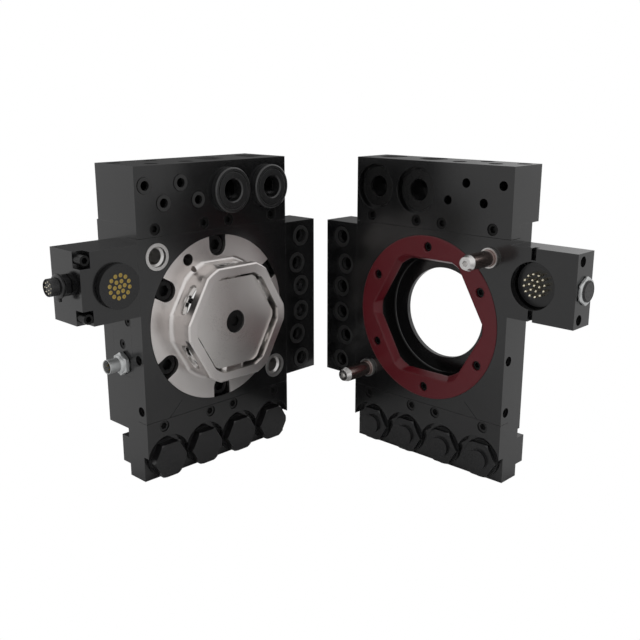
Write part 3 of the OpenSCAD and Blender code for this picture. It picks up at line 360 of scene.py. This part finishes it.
MATERIALS = {
    "black_anodised": anodised("black anodised aluminium"),
    "satin_steel": finish_of("ground steel", (0.62, 0.59, 0.575), (0.67, 0.64, 0.625), (0.27, 0.33),
                             metal=1.0, edge_radius=0.0003, bump=0.03, size=18.0, turning=MASTER_TURN),
    "red_steel": finish_of("dark red coating", (0.085, 0.004, 0.008), (0.10, 0.005, 0.010), (0.30, 0.38),
                           specular=0.35, edge_radius=0.0022, bump=0.03, turning=TOOL_TURN),
    # Its lighter edge colour is a painted highlight.
    "black_steel": finish_of("black oxide steel", (0.004, 0.004, 0.004), (0.007, 0.007, 0.007), (0.2, 0.28),
                             specular=0.4, edge=(0.03, 0.03, 0.03), edge_radius=0.0002, bump=0.03),
    "seal_rubber": finish_of("seal rubber", (0.010, 0.010, 0.010), (0.014, 0.014, 0.014), (0.42, 0.52),
                             edge_radius=0.0003, bump=0.06),
    # Its lighter edge colour is a painted highlight.
    "dark_metal": finish_of("blackened brass", (0.010, 0.010, 0.010), (0.014, 0.014, 0.015), (0.26, 0.34),
                            specular=0.6, edge=(0.05, 0.05, 0.05), bump=0.03),
    "grey_metal": finish_of("nickel plate", (0.50, 0.51, 0.51), (0.56, 0.57, 0.57), (0.42, 0.5), metal=0.75,
                            edge_radius=0.0003, bump=0.03, grain=4000.0),
    "black_plastic": finish_of("black plastic", (0.006, 0.006, 0.0065), (0.009, 0.009, 0.0095), (0.26, 0.34),
                               specular=0.45, edge_radius=0.0004, bump=0.05),
    "gold": finish_of("gold plate", (0.34, 0.25, 0.075), (0.42, 0.31, 0.10), (0.26, 0.34), metal=1.0,
                      edge_radius=0.0001),
}

CAM_STEEL = finish_of("lapped steel", (0.64, 0.615, 0.595), (0.69, 0.665, 0.645), (0.27, 0.33), metal=1.0,
                      edge_radius=0.0003, bump=0.03, size=18.0, turning=MASTER_TURN)
CHROME = finish_of("polished steel", (0.72, 0.72, 0.71), (0.78, 0.78, 0.77), (0.10, 0.16), metal=1.0,
                   edge_radius=0.0002, bump=0.02)
BUSH_STEEL = finish_of("bush steel", (0.50, 0.49, 0.48), (0.56, 0.55, 0.54), (0.26, 0.34), metal=1.0,
                       edge_radius=0.0003, bump=0.02)
PIN_STEEL = bright_beyond(
    finish_of("locating pin steel", (0.26, 0.20, 0.185), (0.30, 0.235, 0.22), (0.20, 0.28), metal=1.0,
              edge_radius=0.0003, bump=0.02), (PIN_NOSE_X, 0, 0), (-1, 0, 0), (0.62, 0.61, 0.60))
PALE_GOLD = finish_of("pale gold plate", (0.86, 0.80, 0.62), (0.92, 0.86, 0.70), (0.3, 0.4), metal=1.0,
                      edge_radius=0.0001)
# A darker, less glossy copy of the black oxide steel for screws in deep seats: its darker colour is painted
# shade of the seats.
SEAT_SHADE_BLACK = finish_of("black screws darkened as painted seat shade", (0.0025, 0.0025, 0.0025), (0.004, 0.004, 0.004),
                       (0.3, 0.4), specular=0.2, edge_radius=0.0002, bump=0.03)
SEAT_BLACK = finish_of("black seal seats", (0.004, 0.004, 0.004), (0.006, 0.006, 0.006), (0.24, 0.32),
                       specular=0.4, edge_radius=0.0003, bump=0.04)
# Painted light: the body's black turns near-white inside the bush bores, standing in for the bright
# reflections there.
BODY = inside_bores(anodised("black anodised body with painted bore light"), BUSH_AXES, (0, 1, 0), BUSH_BORE, BUSH_BORE_END,
                    (0.80, 0.79, 0.78), 0.5)
# Painted shade: the tool body turns darker and less glossy inside the chamber behind the locking ring.
TOOL_BODY = inside_bores(anodised("black anodised tool body with painted chamber shade"), ((0, -TOOL_AXIS / 1000, 0),), (1, 0, 0),
                         CHAMBER_R, CHAMBER_END, (0.002, 0.002, 0.002), 0.12)

# Nodes whose finish differs from the rest of their slot, and nodes with painted light or shade: the master
# body's bright bores, the tool body's dark chamber and the screws darkened in their seats
OWN_FINISH_AND_PAINTED_LIGHT = {
    "locking_cam": CAM_STEEL, "guide_bushes": BUSH_STEEL, "pin_collars": BUSH_STEEL,
    "locating_pins": PIN_STEEL, "spring_pins": PALE_GOLD, "master_signal_plug_pins": PALE_GOLD,
    "master_body": BODY, "tool_body": TOOL_BODY, "coupler_seats": SEAT_BLACK,
    **{f"lock_bolt_{i}": CHROME for i in range(1, 7)},
    **dict.fromkeys(("cam_screw", "robot_screws", "ring_screws", "master_block_screws", "tool_block_screws",
                     "signal_screws", "panel_screws", "master_side_screws", "tool_signal_screws",
                     "tool_side_screws"), SEAT_SHADE_BLACK)}


# ---- Pieces made here ----


def tube(r, wall, z0, z1, well, ease=0.4):
    """A barrel with an open front: outside at r, inside at r - wall down to the well's floor."""
    inner = r - wall
    return turned([(0, z0), (r, z0), (r, z1 - ease), (r - ease, z1), (inner + ease, z1),
                   (inner, z1 - ease), (inner, z1 - well), (0, z1 - well)])


def pin_circle(count, circle_r, pin_r, z0, z1):
    """Contact pins on a circle, each a rod with a rounded tip."""
    rod = turned([(0, z0), (pin_r, z0), (pin_r, z1 - pin_r), (0.7 * pin_r, z1 - 0.3 * pin_r), (0, z1)], 12)
    turns = 2 * np.pi * np.arange(count) / count
    return [rod + np.array([circle_r * math.cos(a), circle_r * math.sin(a), 0]) for a in turns]


def connector(name, place, node, main_slot, parts, gold=(), insert=()):
    """A round connector that stands for a CAD node, with its gold pins and black insert."""
    axes = ("z", "y", "-x")
    if name.startswith("master"):
        body, put = "master_half", on_master
    else:
        body, put = "tool_half", on_tool
    for piece, grids, slot_name, stood_for in (
            (name, parts, main_slot, (node,)), (name + "_pins", gold, "gold", ()),
            (name + "_insert", insert, "black_plastic", ())):
        if grids:
            make_piece(piece, [put(moved(g, place, axes)) for g in grids], body, slot_name, stood_for)


def lobed(radius, depth, lobes, z0, z1, steps=96):
    """A grip with soft lobes: the radius is R - d (1 + cos(n a)) / 2, eased at both ends."""
    a = np.linspace(0, 2 * np.pi, steps, endpoint=False)[None, :]
    z = np.array([z0, z0, z0 + 0.4, z1 - 0.4, z1, z1])[:, None]
    drop = np.array([0, 0.4, 0, 0, 0.4, 0])[:, None]
    r = radius - drop - depth * (1 + np.cos(lobes * a)) / 2 + 0 * z
    r[0] = r[-1] = 0
    return np.stack([r * np.cos(a), r * np.sin(a), z + 0 * a], -1)


def lug(half_x, half_y, half_z, place, power=0.25, rows=12, steps=32):
    """A small block with rounded edges: a superellipsoid, where each cosine and sine is
    raised to a power below 1 and keeps its sign."""
    def eased(v):
        return np.sign(v) * np.abs(v) ** power
    b = np.linspace(-np.pi / 2, np.pi / 2, rows)[:, None]
    a = np.linspace(0, 2 * np.pi, steps, endpoint=False)[None, :]
    ball = np.stack([half_x * eased(np.cos(b)) * eased(np.cos(a)),
                     half_y * eased(np.cos(b)) * eased(np.sin(a)), half_z * eased(np.sin(b)) + 0 * a], -1)
    return ball + np.array(place, float)


# Where the connectors leave their walls, in the coupling frame
MASTER_SIGNAL_AT = (-130.0, 45.6, 21.2)
MASTER_SENSOR_AT = (-79.2, -29.6, 29.0)
TOOL_SIGNAL_AT = (-136.1, 43.2, 13.8)


def make_connectors():
    """The three round connectors: a black one with a collar, and two plated ones."""
    connector("master_signal_plug", MASTER_SIGNAL_AT, "signal_connector", "black_plastic",
              [lobed(8.6, 1.0, 6, 0, 5.0), turned([(0, 4), (6.4, 4), (6.4, 6.4), (0, 6.4)]),
               turned([(0, 6), (9.3, 6), (9.6, 6.3), (9.6, 7.9), (9.3, 8.2), (7.6, 8.6), (0, 8.6)]),
               lug(2.6, 2.6, 1.3, (0, -9.4, 7.2)), threaded(6.3, 6.8, 1.0, 8.4, 15.0),
               tube(6.9, 0.7, 8.2, 16.0, 2.2)],
              pin_circle(8, 4.6, 0.55, 13.0, 15.6) + pin_circle(3, 2.0, 0.55, 13.0, 15.6))
    connector("master_sensor_plug", MASTER_SENSOR_AT, "sensor_connector", "grey_metal",
              [hexagonal(17.6, 4.5, 1.6),
               turned([(0, 3.5), (8.0, 3.5), (7.9, 4.8), (7.3, 5.8), (6.2, 6.8), (0, 6.8)]),
               tube(6.0, 0.7, 5.5, 16.5, 6.0)],
              pin_circle(4, 2.6, 0.5, 10.3, 14.5), [turned([(0, 10.2), (5.2, 10.2), (5.2, 11.0), (0, 11.0)])])
    connector("tool_signal_plug", TOOL_SIGNAL_AT, "tool_connector", "grey_metal",
              [hexagonal(20, 2.6, 0.7, 15.0)], (),
              [tube(8.4, 0.9, 0.2, 3.7, 0.5),
               turned([(0, 3.0), (6.9, 3.0), (7.1, 3.2), (7.1, 3.5), (6.9, 3.7), (0, 3.7)])]
              + pin_circle(8, 4.4, 0.5, 3.5, 4.0) + pin_circle(1, 0, 0.5, 3.5, 4.0))


def lining(hole_r, pitch, z0, z1, gap=0.05, skin=0.02, depth=0.6):
    """A thread cut in a hole: threaded inside, a gap within the hole's wall, with ridges a
    share of the pitch deep, and closed by a skin behind it."""
    root_r = hole_r - gap
    return threaded(root_r, root_r - depth * pitch, pitch, z0, z1, hole_r - skin, rows=6)


# Hole radius and pitch of each thread, and where it starts and ends along its axis
SMALL_THREAD, LARGE_THREAD, FLANGE_THREAD = (5.9, 1.34), (12.1, 1.81), (4.25, 1.5)
TOP_SPAN, BANK_SPAN, FLANGE_SPAN = (0.3, 13.0), (19.5, 32.7), (13.0, 30.3)
# Places of the ports: floor of the top ports, places across, depths of the small rear row
# and of the large ports in each half, depth of the small front row, and the banks' ports
TOP_FLOOR = 118.7
SMALL_PORT_XS = [-69.9 + i * 17.15 for i in range(4)]
LARGE_PORT_XS = (15.0, 58.8)
PORT_DEPTHS = {"master": (40.5, 26.5), "tool": (29.5, 25.0)}
FRONT_ROW_DEPTH = 15.0
BANK_PORTS = ((98.2, 59.3), (93.2, 34.7), (98.2, 12.8), (98.2, -11.4), (93.2, -33.3), (98.2, -57.9))
BOLT_CIRCLE_R = 62.5
# Root, crest, pitch, start and end of the robot screws' threads, and the radius that closes them
ROD_THREAD = (4.77, 5.0, 1.5, 56.3, 70.6, 4.72)


def on_circle(radius, angle):
    """The point at an angle on a circle round the coupling axis."""
    return (radius * math.cos(angle), radius * math.sin(angle), 0)


def make_threads():
    """Threads in the ports on top of both fluid blocks, at the backs of the port
    banks and of the tool half, and on the robot screws behind the master."""
    up = ("x", "-z", "y")
    straight = ("x", "y", "z")
    for half, put in (("master", on_master), ("tool", on_tool)):
        rear_depth, large_depth = PORT_DEPTHS[half]
        rows = [moved(lining(*SMALL_THREAD, *TOP_SPAN),
                      (x, TOP_FLOOR, FRONT_ROW_DEPTH if i % 2 else rear_depth), up)
                for i, x in enumerate(SMALL_PORT_XS)]
        rows += [moved(lining(*LARGE_THREAD, *TOP_SPAN), (x, TOP_FLOOR, large_depth), up)
                 for x in LARGE_PORT_XS]
        rows += [moved(lining(*SMALL_THREAD, *BANK_SPAN), (x, y, 0), straight) for x, y in BANK_PORTS]
        make_piece(half + "_port_threads", [put(g) for g in rows], half + "_half", "black_anodised",
                   closed_up=True)
    angles = np.radians(np.arange(0, 360, 60))
    holes = [moved(lining(*FLANGE_THREAD, *FLANGE_SPAN), on_circle(BOLT_CIRCLE_R, a), straight)
             for a in angles]
    make_piece("tool_flange_threads", [on_tool(g) for g in holes], "tool_half", "black_anodised",
               closed_up=True)
    rods = [moved(threaded(*ROD_THREAD), on_circle(BOLT_CIRCLE_R, a + math.pi / 6), straight)
            for a in angles]
    make_piece("robot_screw_threads", [on_master(g) for g in rods], "master_half", "black_steel",
               closed_up=True)


# ---- The studio ----


def add_camera():
    """Looks a little down on both halves, from in front of the corner between them."""
    camera = bpy.data.objects.new("camera", bpy.data.cameras.new("camera"))
    bpy.context.scene.collection.objects.link(camera)
    camera.data.lens = 48.04
    camera.data.sensor_width = 36
    camera.data.clip_end = 20
    camera.location = (-0.4505, -0.6116, 0.1844)
    camera.rotation_euler = (math.radians(90 - 14.756), 0, math.radians(-45.949))
    bpy.context.scene.camera = camera


def white_to_eye(tree):
    """1 for what the camera sees directly, in gloss or through glass, and 0 as light."""
    path = add(tree, "LightPath").outputs
    seen = add(tree, "Math", {0: path["Is Camera Ray"], 1: path["Is Transmission Ray"]}, operation="MAXIMUM")
    return add(tree, "Math", {0: seen.outputs[0], 1: path["Is Glossy Ray"]}, operation="MAXIMUM").outputs[0]


def add_world(as_light, card, card_from, card_to, card_level):
    """White to look at and softer as light, with a dark card standing behind the halves
    that only glossy surfaces see: it darkens with the angle to its own direction."""
    world = bpy.data.worlds.new("studio")
    bpy.context.scene.world = world
    world.use_nodes = True
    tree = world.node_tree
    tree.nodes.clear()
    level = add(tree, "MapRange", {"Value": white_to_eye(tree), "To Min": as_light, "To Max": 1.0})
    way = add(tree, "TexCoord").outputs["Generated"]
    facing = add(tree, "VectorMath", {0: way, 1: card}, operation="DOT_PRODUCT").outputs["Value"]
    shade = add(tree, "MapRange", {"Value": facing, "From Min": card_from, "From Max": card_to,
                                   "To Min": 1.0, "To Max": card_level}, interpolation_type="SMOOTHSTEP")
    gloss = add(tree, "LightPath").outputs["Is Glossy Ray"]
    part = add(tree, "MapRange", {"Value": gloss, "To Min": 1.0, "To Max": shade.outputs["Result"]})
    both = add(tree, "Math", {0: level.outputs["Result"], 1: part.outputs["Result"]}, operation="MULTIPLY")
    back = add(tree, "Background", {"Color": (1, 1, 1, 1), "Strength": both.outputs[0]})
    out = tree.nodes.new("ShaderNodeOutputWorld")
    tree.links.new(back.outputs[0], out.inputs["Surface"])


def add_floor(height):
    """A floor under both halves: plain white to look at, and shaded in their gloss."""
    mesh = bpy.data.meshes.new("floor")
    edge = 6.0
    corners = [(x, y, height) for x, y in ((-edge, -edge), (edge, -edge), (edge, edge), (-edge, edge))]
    mesh.from_pydata(corners, [], [(0, 1, 2, 3)])
    floor = bpy.data.objects.new("floor", mesh)
    bpy.context.scene.collection.objects.link(floor)
    material = bpy.data.materials.new("white floor")
    material.use_nodes = True
    tree = material.node_tree
    shader = tree.nodes["Principled BSDF"]
    shader.inputs["Base Color"].default_value = (0.9, 0.9, 0.9, 1)
    shader.inputs["Roughness"].default_value = 0.8
    shader.inputs["Specular IOR Level"].default_value = 0.0
    glow = add(tree, "Emission", {"Color": (1, 1, 1, 1), "Strength": 1.0})
    seen = add(tree, "LightPath").outputs["Is Camera Ray"]
    mix = add(tree, "MixShader", {0: seen, 1: shader.outputs[0], 2: glow.outputs[0]})
    tree.links.new(mix.outputs[0], tree.nodes["Material Output"].inputs["Surface"])
    mesh.materials.append(material)


for part, slot_name in SLOT_OF.items():
    for holder in NODES[part].material_slots:
        holder.material = OWN_FINISH_AND_PAINTED_LIGHT.get(part, MATERIALS[slot_name])

make_connectors()
make_threads()
add_camera()
add_world(as_light=0.8, card=(0.5, 0.86, 0.05), card_from=0.72, card_to=1.0, card_level=0.1)
add_floor(height=CAD_BOX[0][2])
bpy.context.scene.view_settings.view_transform = "Standard"
